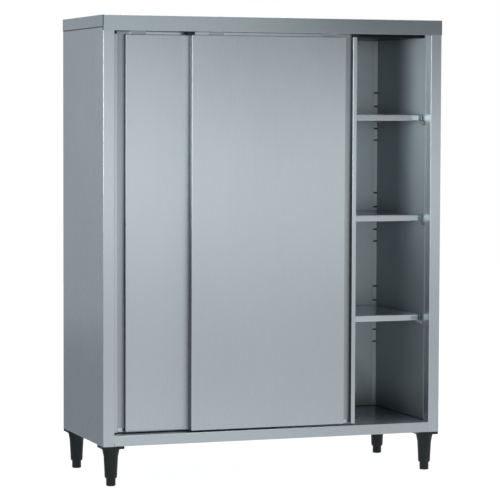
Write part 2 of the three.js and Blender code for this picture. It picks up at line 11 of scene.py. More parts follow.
import bpy
import numpy as np
from mathutils import Matrix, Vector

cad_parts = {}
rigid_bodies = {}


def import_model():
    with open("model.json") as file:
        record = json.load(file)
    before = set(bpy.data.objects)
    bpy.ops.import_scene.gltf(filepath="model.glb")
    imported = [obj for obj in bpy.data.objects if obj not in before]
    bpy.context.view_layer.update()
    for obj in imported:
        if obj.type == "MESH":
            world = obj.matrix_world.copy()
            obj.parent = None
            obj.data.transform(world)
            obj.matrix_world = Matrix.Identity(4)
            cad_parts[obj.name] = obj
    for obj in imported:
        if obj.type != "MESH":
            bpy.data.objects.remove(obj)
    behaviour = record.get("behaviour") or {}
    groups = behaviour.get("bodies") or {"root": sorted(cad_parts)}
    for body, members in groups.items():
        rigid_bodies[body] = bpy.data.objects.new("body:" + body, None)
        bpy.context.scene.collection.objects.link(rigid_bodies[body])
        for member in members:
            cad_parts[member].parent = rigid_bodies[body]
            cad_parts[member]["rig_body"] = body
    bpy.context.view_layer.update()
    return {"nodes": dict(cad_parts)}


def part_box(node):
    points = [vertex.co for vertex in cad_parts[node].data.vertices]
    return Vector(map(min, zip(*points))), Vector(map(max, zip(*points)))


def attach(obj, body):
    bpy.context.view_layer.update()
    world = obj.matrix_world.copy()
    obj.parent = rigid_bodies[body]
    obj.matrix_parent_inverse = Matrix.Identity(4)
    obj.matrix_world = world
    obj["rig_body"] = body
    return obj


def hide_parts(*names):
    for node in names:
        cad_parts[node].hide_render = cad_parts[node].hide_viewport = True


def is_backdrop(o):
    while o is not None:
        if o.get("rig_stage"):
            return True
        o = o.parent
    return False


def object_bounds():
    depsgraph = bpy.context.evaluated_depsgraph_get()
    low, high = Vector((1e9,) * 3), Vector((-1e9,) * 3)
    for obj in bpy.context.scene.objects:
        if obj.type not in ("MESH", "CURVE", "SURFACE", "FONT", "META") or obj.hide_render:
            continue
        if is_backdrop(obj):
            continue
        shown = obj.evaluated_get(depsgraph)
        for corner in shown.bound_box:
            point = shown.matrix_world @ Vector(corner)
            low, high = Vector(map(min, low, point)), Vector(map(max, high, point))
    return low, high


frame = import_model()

nodes = frame["nodes"]

# %% [markdown]
# Sheet metal is drawn in millimetres, while Blender counts in metres. The shapes below are worked out in
# millimetres and brought to metres in one place, when the mesh is made.

# %% Places from the frame
MM = 0.001


def place(node):
    """Lowest and highest corner of a node at rest, in millimetres."""
    return [np.round(np.array(corner) / MM, 2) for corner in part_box(node)]


side_low, side_high = place("side_panel_right")
cap_low, cap_high = place("top_cap")
print("side panel", side_low, side_high)
print("cap", cap_low, cap_high)

# %% [markdown]
# ## The camera
# The picture was taken from the cupboard's left, a little above its middle, through a long lens. The
# numbers come from fitting the cupboard's edges. The camera is made first, because it decides what is
# worth looking at.

# %% Camera
IMAGE_PX = 500
FOCAL_PX = 2338.5
SENSOR_MM = 36
eye = np.array([-3196.1, -8797.0, 1438.8]) * MM
yaw, pitch, roll = np.radians([19.9423, 3.4068, 0.2104])

forward = np.array([np.sin(yaw) * np.cos(pitch), np.cos(yaw) * np.cos(pitch), -np.sin(pitch)])
level = np.array([np.cos(yaw), -np.sin(yaw), 0])
above = np.cross(level, forward)
right = np.cos(roll) * level + np.sin(roll) * above
up = np.cos(roll) * above - np.sin(roll) * level

camera = bpy.data.objects.new("camera", bpy.data.cameras.new("camera"))
bpy.context.scene.collection.objects.link(camera)
bpy.context.scene.camera = camera
camera.data.sensor_width = SENSOR_MM
camera.data.lens = FOCAL_PX / IMAGE_PX * SENSOR_MM
camera.data.clip_end = 100
turned_to = np.eye(4)
turned_to[:3] = np.column_stack([right, up, -forward, eye])
camera.matrix_world = Matrix(turned_to)
print(f"lens {camera.data.lens:.1f} mm, {np.linalg.norm(eye[:2]):.2f} m from the cupboard")

# %% [markdown]
# ## Bending a sheet
# A press brake bends sheet round a small radius. The bend looks like a thin bright line, because its
# curved face mirrors the lamps from many directions, so a sharp corner would never look like steel. A
# sheet could be a box mesh with a bevel, but its thickness and its bends are simpler to get from its
# outline: the shown face is a line with an arc at each corner, and the hidden face is the same line moved
# by the thickness.

# %% Outline of a bent sheet
BEND = 0.8  # inner radius of the bends
RUB = 3  # width of the strip beside a bend or a cut edge that handling has polished, and that is painted lighter as a highlight


def bend(corners, sheet, radius=BEND, steps=6):
    """Points of a bent line, their unit normals towards the hidden face, and how much each is rubbed
    and painted lighter as a highlight.

    An arc replaces each corner. Its centre is the corner moved along the mitre by the arc's radius, and its
    points are the centre less the radius times a normal that swings from one run's to the next. The radius
    is the inner one on the hollow side of the bend, and the inner one plus the sheet on the other side.
    Corners that lie on a straight run stay single points. Long runs get a point near each end, where the
    rubbing and the painted highlight stop."""
    corners = np.asarray(corners, float)
    along = np.diff(corners, axis=0)
    along /= np.linalg.norm(along, axis=1, keepdims=True)
    normals = np.stack([-along[:, 1], along[:, 0]], 1)
    before, after = normals[:-1], normals[1:]
    quarter = np.stack([-before[:, 1], before[:, 0]], 1)
    turn = np.arctan2((quarter * after).sum(1), (before * after).sum(1))
    side = np.sign(np.round(turn, 6))
    reach = side * np.where(side > 0, radius + sheet, radius)
    mitre = (before + after) / (1 + (before * after).sum(1))[:, None]
    centre = corners[1:-1] + reach[:, None] * mitre
    angle = (turn[:, None] * np.linspace(0, 1, steps + 1))[..., None]
    swung = before[:, None] * np.cos(angle) + quarter[:, None] * np.sin(angle)
    arcs = centre[:, None] - reach[:, None, None] * swung
    kept = (side != 0)[:, None] | (np.arange(steps + 1) == 0)
    points = np.vstack([corners[:1], arcs[kept], corners[-1:]])
    normals = np.vstack([normals[:1], swung[kept], normals[-1:]])
    rubbed = np.r_[1, np.repeat(np.abs(side), kept.sum(1)), 1]

    run = np.diff(points, axis=0)
    length = np.linalg.norm(run, axis=1)
    long = np.flatnonzero(length > 3 * RUB)
    inward = run[long] / length[long, None] * RUB
    extra = np.stack([points[long] + inward, points[long + 1] - inward], 1).reshape(-1, 2)
    at = np.repeat(long + 1, 2)
    return np.insert(points, at, extra, 0), np.insert(normals, at, normals[at], 0), np.insert(rubbed, at, 0)


sample, _, _ = bend([(0, 0), (30, 0), (30, 20)], sheet=1.2)
print(f"a sheet with one bend is a line of {len(sample)} points")

# %% [markdown]
# Carried along a straight line, the outline becomes two grids of points, one for each face of the sheet.
# Holes, notches and cut corners are then only cells that are left out. Each edge between a cell that is
# there and one that isn't gets a narrow wall, so every piece is a closed solid, however it is cut.


# %% From two grids to a closed sheet
def closed_sheet(shown, hidden, keep, bent, ring=False):
    """Four-cornered faces, which of them are smooth, and round faces, for two matching grids of points.

    keep marks the cells that are metal: the shown face takes the first grid's points, and the hidden face
    takes the second grid's in the opposite order. With ring the last row meets the first, and the first
    column is closed by one flat face on each side."""
    count, stations = shown.shape[:2]
    far = count * stations
    ids = np.arange(far).reshape(count, stations)
    rows = ids
    if ring:
        ids = np.vstack([ids, ids[:1]])
    first, second, third, fourth = ids[:-1, :-1], ids[1:, :-1], ids[1:, 1:], ids[:-1, 1:]
    faces = [
        np.stack([first, second, third, fourth], -1)[keep],
        np.stack([first, fourth, third, second], -1)[keep] + far,
    ]

    none = np.zeros((1, keep.shape[1]), bool)
    before = np.roll(keep, 1, 0) if ring else np.vstack([none, keep])
    after = keep if ring else np.vstack([keep, none])
    start, end = rows[:, :-1], rows[:, 1:]
    wall = np.stack([start, end, end + far, start + far], -1)
    faces += [wall[after & ~before], wall[before & ~after][:, ::-1]]

    none = np.zeros((len(keep), 1), bool)
    before, after = np.hstack([none | ring, keep]), np.hstack([keep, none])
    start, end = ids[:-1], ids[1:]
    wall = np.stack([start, start + far, end + far, end], -1)
    faces += [wall[after & ~before], wall[before & ~after][:, ::-1]]

    smooth = np.zeros(sum(map(len, faces)), bool)
    smooth[: 2 * keep.sum()] = np.tile(bent[keep], 2)
    rounds = [rows[::-1, 0], rows[:, 0] + far] if ring else []
    return np.vstack(faces), smooth, rounds


def in_place(points, faces, smooth, rounds, grain, rubbed, axes, origin):
    """A part in millimetres, turned to its axes and moved to its origin.

    Mirrored axes turn its faces round."""
    axes = np.asarray(axes, float)
    if np.linalg.det(axes) < 0:
        faces, rounds = faces[:, ::-1], [face[::-1] for face in rounds]
    return points.reshape(-1, 3) @ axes + origin, faces, smooth, rounds, grain, rubbed


def turning(changes):
    """Which steps of a row of directions turn, from the change that each step makes."""
    return np.abs(changes).sum(1) > 1e-6


# %% Sheet with a straight outline
def carried(corners, stations, sheet, axes, origin=(0, 0, 0), missing=None):
    """Bent sheet whose outline is carried in a straight line.

    A point is the origin plus the outline's two coordinates along the first two axes plus the station
    along the third. missing takes the middles of the cells, as three arrays, and marks those that are cut
    away."""
    path, normals, rubbed = bend(corners, sheet)
    stations = np.asarray(stations, float)
    shown = np.empty((len(path), len(stations), 3))
    shown[..., :2], shown[..., 2] = path[:, None], stations
    hidden = shown.copy()
    hidden[..., :2] += sheet * normals[:, None]
    middles = np.moveaxis((shown[:-1, :-1] + shown[1:, 1:]) / 2, 2, 0)
    keep = np.ones(middles[0].shape, bool) if missing is None else ~missing(*middles)
    bent = np.repeat(turning(np.diff(normals, axis=0))[:, None], keep.shape[1], 1)
    across = np.r_[0, np.linalg.norm(np.diff(path, axis=0), axis=1).cumsum()]
    grain = np.stack(np.meshgrid(across, stations, indexing="ij"), -1).reshape(-1, 2)
    grain = np.vstack([grain, grain + [sheet, sheet / 2]])
    rubbed = np.tile(np.repeat(rubbed, len(stations)), 2)
    made = closed_sheet(shown, hidden, keep, bent)
    return in_place(np.stack([shown, hidden]), *made, grain, rubbed, axes, origin)


# %% [markdown]
# A cap, a shelf or a door face is a pan: a flat sheet with its rim folded back all round. Its rim is a
# rounded rectangle, and the pan is that rectangle drawn again and again, a little smaller across the flat
# and a little lower down the fold. The same rings, without a hidden face, make blocks, plates, legs and
# feet.


# %% Rounded rectangles
def outline(corner, half, steps=6):
    """Corner signs and outward directions round a rounded rectangle, or a circle if it is all corner."""
    circle = corner == min(half)
    quarter = np.linspace(0, 90, steps + 1)[: steps if circle else None]
    angles = np.radians(np.arange(4)[:, None] * 90 + quarter)
    outward = np.stack([np.cos(angles), np.sin(angles)], -1)
    signs = np.array([(1, 1), (-1, 1), (-1, -1), (1, -1)], float)[:, None] + 0 * outward
    return signs.reshape(-1, 2), outward.reshape(-1, 2)


def rings(half, corner, rise, signs, outward):
    """Rounded rectangles, each larger than the given one by its rise.

    A point is the centre of its corner's arc plus the arc's radius times the outward direction. The
    radius is the corner's plus the rise, but never under half a millimetre."""
    radius = np.maximum(corner + rise, 0.5)
    centre = signs[:, None] * (np.asarray(half, float) + (rise - radius)[:, None])
    return centre + radius[:, None] * outward[:, None]


# %% Pans
PAN_CORNER = 3  # radius of a pan's corners


def pan(half, profile, sheet, axes, origin, missing=None, stops=()):
    """Flat sheet with a folded rim. The profile is the shown face's (rise, depth) from the flat outwards.

    The grain map is the plan itself, plus what the profile travels in depth along the outward direction.
    stops are (side, share) pairs: places along the straight sides where a cut may begin."""
    path, normals, rubbed = bend(profile, sheet)
    rubbed[0] = 0
    signs, outward = outline(PAN_CORNER, half)
    per_corner = len(signs) // 4
    for side, share in sorted(stops, reverse=True):
        last = (side + 1) * per_corner
        between = signs[last - 1] * (1 - share) + signs[last % len(signs)] * share
        signs, outward = np.insert(signs, last, between, 0), np.insert(outward, last, outward[last - 1], 0)
    plan = rings(half, PAN_CORNER, path[:, 0], signs, outward)
    shown = np.dstack([plan, np.broadcast_to(path[:, 1], plan.shape[:2])])
    downwards = np.broadcast_to(normals[:, 1], plan.shape[:2])
    hidden = shown + sheet * np.dstack([outward[:, None] * normals[:, :1], downwards])
    ahead = np.roll(shown, -1, 0)
    middles = np.moveaxis((shown[:, :-1] + shown[:, 1:] + ahead[:, :-1] + ahead[:, 1:]) / 4, 2, 0)
    keep = np.ones(middles[0].shape, bool) if missing is None else ~missing(*middles)
    at_corner = turning(np.roll(outward, -1, 0) - outward)
    on_fold = np.abs(normals[1:, 0]) > 0.01
    bent = turning(np.diff(normals, axis=0)) | (at_corner[:, None] & on_fold)
    length = np.r_[0, np.linalg.norm(np.diff(path, axis=0), axis=1).cumsum()]
    folded = length - (path[:, 0] - path[0, 0])
    grain = (plan + outward[:, None] * folded[:, None]).reshape(-1, 2)
    grain = np.vstack([grain, grain + [sheet, sheet / 2]])
    rubbed = np.tile(np.tile(rubbed, len(signs)), 2)
    made = closed_sheet(shown, hidden, keep, bent, ring=True)
    return in_place(np.stack([shown, hidden]), *made, grain, rubbed, axes, origin)


# %% Solids
def solid(half, corner, profile, origin, ease=0.6, steps=6):
    """Closed solid of rings. The profile is (rise, height) from its lower middle to its upper middle."""
    path = bend(profile, 0, ease, steps=4)[0] if ease else np.asarray(profile, float)
    signs, outward = outline(corner, half, steps)
    plan = rings(half, corner, path[:, 0], signs, outward)
    points = np.dstack([plan, np.broadcast_to(path[:, 1], plan.shape[:2])])
    ids = np.arange(plan[..., 0].size).reshape(plan.shape[:2])
    ahead = np.roll(ids, -1, 0)
    faces = np.stack([ids[:, :-1], ahead[:, :-1], ahead[:, 1:], ids[:, 1:]], -1).reshape(-1, 4)
    around = np.arange(len(signs)) / len(signs) * 2 * np.pi * (corner + 1)
    grain = np.dstack([np.repeat(around[:, None], len(path), 1), points[..., 2]]).reshape(-1, 2)
    made = faces, np.ones(len(faces), bool), [ids[::-1, 0], ids[:, -1]]
    return in_place(points, *made, grain, np.zeros(len(grain)), np.eye(3), origin)


# %% [markdown]
# One object may have several parts, such as a leg with its plate. Each object stands for one node of the
# frame: it rides on that node's body and hides it. The mesh also carries a map of the grain's direction
# and a few values for each point: how rubbed the sheet is there, which also paints it lighter as a
# highlight, how dull it is, how much painted shade it gets and how much paler it is painted as light. The
# finishes read them. They could be painted in noise instead, but they belong at known places: rubbing and
# painted highlights beside bends, painted shade in joints, grooves, slots and on hidden faces, and
# painted light on the returns and on parts of the inner walls.

# %% From parts to an object
SHARP_FROM = np.radians(32)
GRAIN_SHIFT = np.array([337, 211])  # on the grain map, from one piece to the next
made_so_far = []


def make(node, parts, finish, slot, **marks):
    """Add the object that stands for a node, in metres, from parts in millimetres.

    Each mark, such as the painted shade, is a function that gives every point's share of it from its
    coordinates."""
    sizes, loops, smooth = [], [], []
    start = 0
    for points, faces, rounded, rounds, _, _ in parts:
        sizes += [np.full(len(faces), 4), [len(face) for face in rounds]]
        loops += [faces.ravel() + start, *(face + start for face in rounds)]
        smooth += [rounded, np.zeros(len(rounds), bool)]
        start += len(points)
    points = np.vstack([part[0] for part in parts])
    # Each piece starts elsewhere on the grain, so that no two have the same streaks
    grain = np.vstack([part[4] for part in parts]) + GRAIN_SHIFT * len(made_so_far)
    rubbed = np.concatenate([part[5] for part in parts])
    sizes = np.concatenate(sizes).astype(int)
    used, loops = np.unique(np.concatenate(loops), return_inverse=True)

    mesh = bpy.data.meshes.new(f"{node}_finished")
    mesh.vertices.add(len(used))
    mesh.loops.add(len(loops))
    mesh.polygons.add(len(sizes))
    mesh.vertices.foreach_set("co", (points[used] * MM).ravel())
    mesh.loops.foreach_set("vertex_index", loops.ravel())
    mesh.polygons.foreach_set("loop_start", np.r_[0, sizes.cumsum()[:-1]])
    mesh.polygons.foreach_set("use_smooth", np.concatenate(smooth))
    mesh.update(calc_edges=True)
    mesh.set_sharp_from_angle(angle=SHARP_FROM)
    mesh.uv_layers.new(name="Grain").data.foreach_set("uv", (grain[used][loops.ravel()] * MM).ravel())
    shares = {"rubbed": rubbed[used]} | {name: mark(*points[used].T) * 1.0 for name, mark in marks.items()}
    for name, share in shares.items():
        mesh.attributes.new(name, "FLOAT", "POINT").data.foreach_set("value", share)
    mesh.materials.append(finish)

    piece = bpy.data.objects.new(f"{node}_finished", mesh)
    bpy.context.scene.collection.objects.link(piece)
    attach(piece, nodes[node]["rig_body"])
    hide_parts(node)
    made_so_far.append(piece)
    print(f"{node}: {len(used)} points")


# %% [markdown]
# ## Brushed stainless steel
# The sheet is ground with a fine belt, which leaves long straight scratches along one direction. Three
# things make it read as steel: it is a metal, so it has no colour of its own but a tint of what it
# mirrors; the scratches smear that mirror picture across their direction and keep it sharp along them;
# and no two scratches are alike. Stretched noise on the grain map gives the scratches, and broad noise
# gives the faint clouds of handling. The shader's own anisotropy smears the mirror picture, with its
# tangent across the grain. The values of the mesh add lighter, rougher strips beside the bends, which are
# rubbing and a painted highlight, painted shade in the joints, grooves and hollows, a duller sheen, and a
# paler tint that is painted light.

# %% Helpers for finishes
NOISE_RANGE = (0.3, 0.7)  # nearly all of the noise lies between these values


def linear(red, green, blue):
    """A colour written as it shows on a screen, from 0 to 255, as the light that a shader counts in."""
    share = np.array([red, green, blue]) / 255
    return (*np.where(share < 0.04045, share / 12.92, ((share + 0.055) / 1.055) ** 2.4), 1)


def new_finish(name, metallic=0):
    """A material, its node tree and its shader, which is a metal at 1 and a plastic or a paint at 0."""
    material = bpy.data.materials.new(name)
    material.use_nodes = True
    shader = material.node_tree.nodes["Principled BSDF"]
    shader.inputs["Metallic"].default_value = metallic
    return material, material.node_tree, shader


def feed(tree, socket, value):
    """A socket linked to another node's output, or set to a plain value."""
    if isinstance(value, bpy.types.NodeSocket):
        tree.links.new(value, socket)
    else:
        socket.default_value = value


def add(tree, kind, sockets=None, **settings):
    """A node with its settings, and with a value or another node's output for each named socket."""
    made = tree.nodes.new(f"ShaderNode{kind}")
    for name, value in settings.items():
        setattr(made, name, value)
    for name, value in (sockets or {}).items():
        feed(tree, made.inputs[name], value)
    return made


def noise(tree, where, scale, detail=3.0, roughness=0.55):
    """Noise that is stretched by its own scale on each axis."""
    mapped = add(tree, "Mapping", {"Vector": where, "Scale": scale})
    sockets = {"Vector": mapped.outputs["Vector"], "Scale": 1, "Detail": detail, "Roughness": roughness}
    return add(tree, "TexNoise", sockets).outputs["Fac"]


def spread(tree, value, low, high, out_low, out_high):
    """A value brought from one range to another."""
    sockets = {"Value": value, "From Min": low, "From Max": high, "To Min": out_low, "To Max": out_high}
    return add(tree, "MapRange", sockets).outputs["Result"]


def mix_colours(tree, share, first, second):
    """Colour between two colours, by a share."""
    return add(tree, "Mix", {0: share, 6: first, 7: second}, data_type="RGBA").outputs[2]


def combine(tree, operation, first, second):
    """Two values put together."""
    return add(tree, "Math", {0: first, 1: second}, operation=operation).outputs[0]


def carried_value(tree, name):
    """What the mesh says of each point, such as how grimy it is, or 0 where it says nothing."""
    return add(tree, "Attribute", attribute_name=name).outputs["Fac"]


def bump(tree, shader, height, depth_mm, strength):
    """Relief of the given depth on a shader."""
    made = add(tree, "Bump", {"Height": height, "Strength": strength, "Distance": depth_mm * MM})
    feed(tree, shader.inputs["Normal"], made.outputs["Normal"])


# %% Brushed steel
# Painted light: a paler tint for places on which more light falls
PAINTED_LIGHT_COLOUR = linear(190, 202, 206)
# Painted shade: a dark colour for the shade in joints, grooves, slots and hollows
PAINTED_SHADE_COLOUR = linear(40, 45, 48)
RIPPLE = 0.015  # how much the roughness changes with the clouds, and again with the scratches
# Beside the bends the steel is painted lighter as a highlight, and it is also made rougher where it is rubbed
HIGHLIGHT_WHERE_RUBBED, ROUGHER_WHERE_RUBBED, ROUGHER_WHERE_DULL = 1.12, 0.1, 0.17


def brushed(name, dark, light, rough, smear=1.0, grain_axis=None):
    """Brushed steel between two tints. The grain follows the grain map, or an axis on pieces without one.

    smear is how much wider the mirror picture is blurred across the grain than along it."""
    material, tree, shader = new_finish(name, metallic=1)
    if grain_axis is None:
        grain_axis = 1  # the grain runs up the grain map
        where = add(tree, "UVMap", uv_map="Grain").outputs["UV"]
        tangent = add(tree, "Tangent", direction_type="UV_MAP", uv_map="Grain")
        feed(tree, shader.inputs["Tangent"], tangent.outputs["Tangent"])
        feed(tree, shader.inputs["Anisotropic"], smear)
    else:
        where = add(tree, "TexCoord").outputs["Object"]

    def stretched(fine, slow, detail):
        """Noise that changes fast across the grain and slowly along it."""
        scale = [slow if axis == grain_axis else fine for axis in range(3)]
        return noise(tree, where, scale, detail)

    scratches, streaks, clouds = stretched(2200, 9, 2), stretched(120, 1.1, 4), stretched(3.1, 1.7, 3)
    shares = (scratches, 0.4), (streaks, 0.15), (clouds, 0.45)
    parts = [combine(tree, "MULTIPLY", output, share) for output, share in shares]
    tone = combine(tree, "ADD", combine(tree, "ADD", parts[0], parts[1]), parts[2])
    colour = mix_colours(tree, spread(tree, tone, *NOISE_RANGE, 0, 1), dark, light)
    rubbed = carried_value(tree, "rubbed")
    # Painted highlight: the colour beside the bends is painted lighter, more on the lighter streaks
    edge = combine(tree, "MULTIPLY", rubbed, spread(tree, streaks, 0.35, 0.65, 0.2, 0.5))
    brighter = tuple(min(1, part * HIGHLIGHT_WHERE_RUBBED) for part in light[:3]) + (1,)
    colour = mix_colours(tree, edge, colour, brighter)
    # Painted light: where the mesh says pale, the colour is painted paler
    colour = mix_colours(tree, carried_value(tree, "pale"), colour, PAINTED_LIGHT_COLOUR)
    # Painted shade: the dark colour where the mesh says so, varied a little with the streaks
    grime = carried_value(tree, "grime")
    grime = combine(tree, "MULTIPLY", grime, spread(tree, streaks, *NOISE_RANGE, 0.8, 1))
    feed(tree, shader.inputs["Base Color"], mix_colours(tree, grime, colour, PAINTED_SHADE_COLOUR))

    matt = spread(tree, clouds, *NOISE_RANGE, rough - RIPPLE, rough + RIPPLE)
    matt = combine(tree, "ADD", matt, spread(tree, scratches, *NOISE_RANGE, -RIPPLE, RIPPLE))
    matt = combine(tree, "ADD", matt, combine(tree, "MULTIPLY", rubbed, ROUGHER_WHERE_RUBBED))
    dull = carried_value(tree, "dull")
    matt = combine(tree, "ADD", matt, combine(tree, "MULTIPLY", dull, ROUGHER_WHERE_DULL))
    feed(tree, shader.inputs["Roughness"], matt)
    bump(tree, shader, scratches, depth_mm=0.004, strength=0.2)
    return material


# The same stainless steel gets tints that stand for light and shade: the cap and the inner walls are painted
# darker, the back and the shelves paler, and the ceiling nearly black, as painted shade
outer_steel = brushed("outer_steel", linear(165, 174, 180), linear(173, 182, 187), rough=0.28, smear=0.9)
cap_steel = brushed("cap_steel", linear(157, 168, 174), linear(165, 176, 181), rough=0.2, smear=0.9)
wall_steel = brushed("wall_steel", linear(142, 155, 161), linear(153, 165, 171), rough=0.4)
back_steel = brushed("back_steel", linear(182, 198, 203), linear(194, 209, 213), rough=0.45)
shelf_steel = brushed("shelf_steel", linear(176, 186, 191), linear(186, 195, 200), rough=0.2, smear=0.8)
plain_steel = brushed("plain_steel", linear(26, 32, 37), linear(38, 45, 51), rough=0.4, grain_axis=0)
hanger_steel = brushed("hanger_steel", linear(168, 178, 184), linear(178, 188, 194), rough=0.3, grain_axis=2)
print("steels:", *(steel.name for steel in (outer_steel, cap_steel, wall_steel, back_steel, shelf_steel)))
print("and for pieces without a grain map:", plain_steel.name, hanger_steel.name)

# %% [markdown]
# ## Zinc, aluminium and black plastic
# The hidden hardware is zinc-plated or extruded, and the feet, buffers and rollers are black. Zinc has a
# soft crystalline cloudiness, so its noise is round instead of stretched. Moulded plastic has a fine
# leathery grain and a sheen that is broken by dust and scuffs, which are lighter and duller than the
# plastic.


# %% Other finishes
def zinc_plated():
    """Cloudy grey metal with small crystals."""
    material, tree, shader = new_finish("zinc_plated", metallic=1)
    where = add(tree, "TexCoord").outputs["Object"]
    crystals = add(tree, "TexVoronoi", {"Vector": where, "Scale": 260}).outputs["Distance"]
    clouds = noise(tree, where, (30, 30, 30))
    tone = combine(tree, "ADD", combine(tree, "MULTIPLY", crystals, 0.5), clouds)
    tone = spread(tree, tone, 0.4, 1.1, 0, 1)
    colour = mix_colours(tree, tone, linear(128, 134, 138), linear(176, 180, 182))
    feed(tree, shader.inputs["Base Color"], colour)
    feed(tree, shader.inputs["Roughness"], spread(tree, clouds, *NOISE_RANGE, 0.36, 0.56))
    bump(tree, shader, crystals, depth_mm=0.03, strength=0.2)
    return material


def moulded(name, dark, light, rough, grain):
    """Black plastic with a fine grain and lighter scuffs."""
    material, tree, shader = new_finish(name)
    feed(tree, shader.inputs["Specular IOR Level"], 0.3)
    where = add(tree, "TexCoord").outputs["Object"]
    pores = noise(tree, where, (grain, grain, grain), 2)
    scuffs = noise(tree, where, (26, 26, 9), 5, 0.7)
    colour = mix_colours(tree, spread(tree, scuffs, 0.5, 0.72, 0, 1), dark, light)
    feed(tree, shader.inputs["Base Color"], colour)
    matt = spread(tree, scuffs, 0.35, 0.7, rough, rough + 0.16)
    matt = combine(tree, "ADD", matt, combine(tree, "MULTIPLY", pores, 0.08))
    feed(tree, shader.inputs["Roughness"], matt)
    bump(tree, shader, pores, depth_mm=0.08, strength=0.35)
    return material


zinc = zinc_plated()
aluminium = brushed("track_aluminium", linear(196, 200, 202), linear(210, 213, 215), rough=0.34, grain_axis=0)
leg_plastic = moulded("black_plastic", linear(6, 17, 20), linear(28, 42, 46), rough=0.4, grain=900)
nylon = moulded("black_nylon", linear(20, 23, 25), linear(40, 44, 46), rough=0.45, grain=1400)
print("other finishes:", zinc.name, aluminium.name, leg_plastic.name, nylon.name)

# %% [markdown]
# ## Side panels
# Each side is one sheet. Seen from above it runs from the small hem inside the opening, round the front
# stile, back along the side and round to the flange that holds the back. Below the floor only its outer
# face goes on, so the returns are cut away there. The left panel is the right one mirrored. Two small
# distances serve all the marks and cuts: a hair's breadth for comparing places, and a depth that is
# about that of the hidden face.

# %% Sizes of the side panels
X, Y, Z = np.eye(3)
SIDES = (("left", -1), ("right", 1))
HAIR, IN_SHEET = 0.1, 1
body_sheet, seat_gap = 1.2, 0.3
stile_width, return_depth, hem_width, worn_width, rear_return_depth = 45, 52, 6, 4, 15
side_skirt, crack = 44.5, 4

front_y, back_y = side_low[1], side_high[1]
carcass_low, wall_top = side_low[2], side_high[2]
rear_opening, half_width = side_low[0], side_high[0]
opening = half_width - stile_width
past_bend = front_y + BEND + body_sheet
return_y, rear_return_y, hem_x = front_y + return_depth, back_y - rear_return_depth, opening + hem_width
edge_y = return_y - worn_width
floor_top = place("floor_pan")[1][2]
lining_foot = place("side_lining_right")[0][2]
skirt_edge = cap_high[2] - side_skirt
print(f"the opening is {2 * opening:.1f} mm wide, and the floor is {floor_top:.1f} mm high")


# %% Cuts and marks of the side panels
def below_floor(x, y, z):
    """The inner returns under the floor."""
    return (z < lining_foot) & (x < half_width - body_sheet) & (np.abs(y) < back_y - body_sheet)


def shade_under_skirt_and_in_hollow(x, y, z):
    """Painted shadow in a band along the foot of the cap's skirt, and painted shade all over the hollow
    side of the sheet.
    """
    in_crack = (np.abs(z - skirt_edge) < crack) & (np.abs(x) > half_width - HAIR)
    inner_edge = np.where(y > 0, rear_opening, opening) + IN_SHEET
    hollow = (np.abs(x) > inner_edge) & (np.abs(x) < half_width - IN_SHEET) & (np.abs(y) < back_y - IN_SHEET)
    hem = (np.abs(x) < hem_x + IN_SHEET) & (y > return_y - body_sheet / 2) & (y < 0)
    return in_crack | (hollow & ~hem)


def in_the_opening(x, y, z):
    """The return beside the opening, which is painted paler as light."""
    return (y > past_bend) & (y < return_y + IN_SHEET) & (np.abs(x) < hem_x + IN_SHEET)


def less_polished(x, y, z):
    """The return's inner edge and its upper part, where fewer hands reach."""
    up_the_return = np.clip((z - floor_top) / (wall_top - floor_top), 0, 1)
    return in_the_opening(x, y, z) * np.where(y > edge_y - HAIR, 1, up_the_return)


# %% Side panels
panel_path = [
    (hem_x, return_y), (opening, return_y), (opening, edge_y), (opening, front_y),
    (half_width, front_y), (half_width, back_y), (rear_opening, back_y), (rear_opening, rear_return_y),
]
crack_rows = skirt_edge + crack * np.array([-1.25, -0.95, 0.95])
panel_rows = [carcass_low, lining_foot, *crack_rows, wall_top]
# Painted shade along the cap's skirt and in the hollow, and painted light on the return
panel_marks = {"grime": shade_under_skirt_and_in_hollow, "pale": in_the_opening, "dull": less_polished}
for word, side in SIDES:
    part = carried(panel_path, panel_rows, body_sheet, [side * X, Y, Z], missing=below_floor)
    make(f"side_panel_{word}", [part], outer_steel, "outer_steel", **panel_marks)

# %% [markdown]
# ## Inner walls
# The sides are double. The inner wall has a narrow flange that laps over the back. The flange is slotted
# from its bend inwards, and the wall has slots close behind the front return, and the shelf clips hook
# into both. A slot could be a dark patch of paint, but here the slots are cells left out of the grid, so
# their edges show the sheet's thickness and the dark hollow behind. A rim round each slot of the flange
# is still painted dark as shade, the joint with the floor is painted black as shadow, and the wall above
# it is painted darker, fading upwards. The flange and the strip at the front are painted paler, as light.

# %% Sizes of the inner walls
lining_sheet, strip_width, cut_past_bend = 1, 20, 2
slot_width, slot_height, slot_rim = 13, 5.5, 1.3
slot_below_shelf = 23.05  # from a shelf's top down to the slots that hold it
# The joint with the floor is painted black as shadow, and the wall above it darker up to the second height
joint_height, darkened_height = 3.5, 130
rack_shares = np.array([
    0.859, 0.822, 0.762, 0.7304, 0.5863, 0.5483,
    0.4863, 0.4542, 0.3304, 0.2919, 0.2113, 0.1785,
])

lining_low, lining_high = place("side_lining_right")
strip_x, strip_y = lining_low[0], lining_high[1] - lining_sheet
lining_x, lining_front = strip_x + strip_width, lining_low[1]
slot_start, front_slot = lining_x - slot_width, (lining_front + 2, lining_front + 10)
ceiling_z = place("ceiling_panel")[0][2]
shelf_tops = [place(f"shelf_{number}")[1][2] for number in (1, 2, 3)]
free_slots = floor_top + rack_shares * (ceiling_z - floor_top)
slot_heights = np.sort(np.r_[free_slots, np.array(shelf_tops) - slot_below_shelf])
print(f"{len(slot_heights)} rows of slots, from {slot_heights[0]:.0f} to {slot_heights[-1]:.0f} mm high")


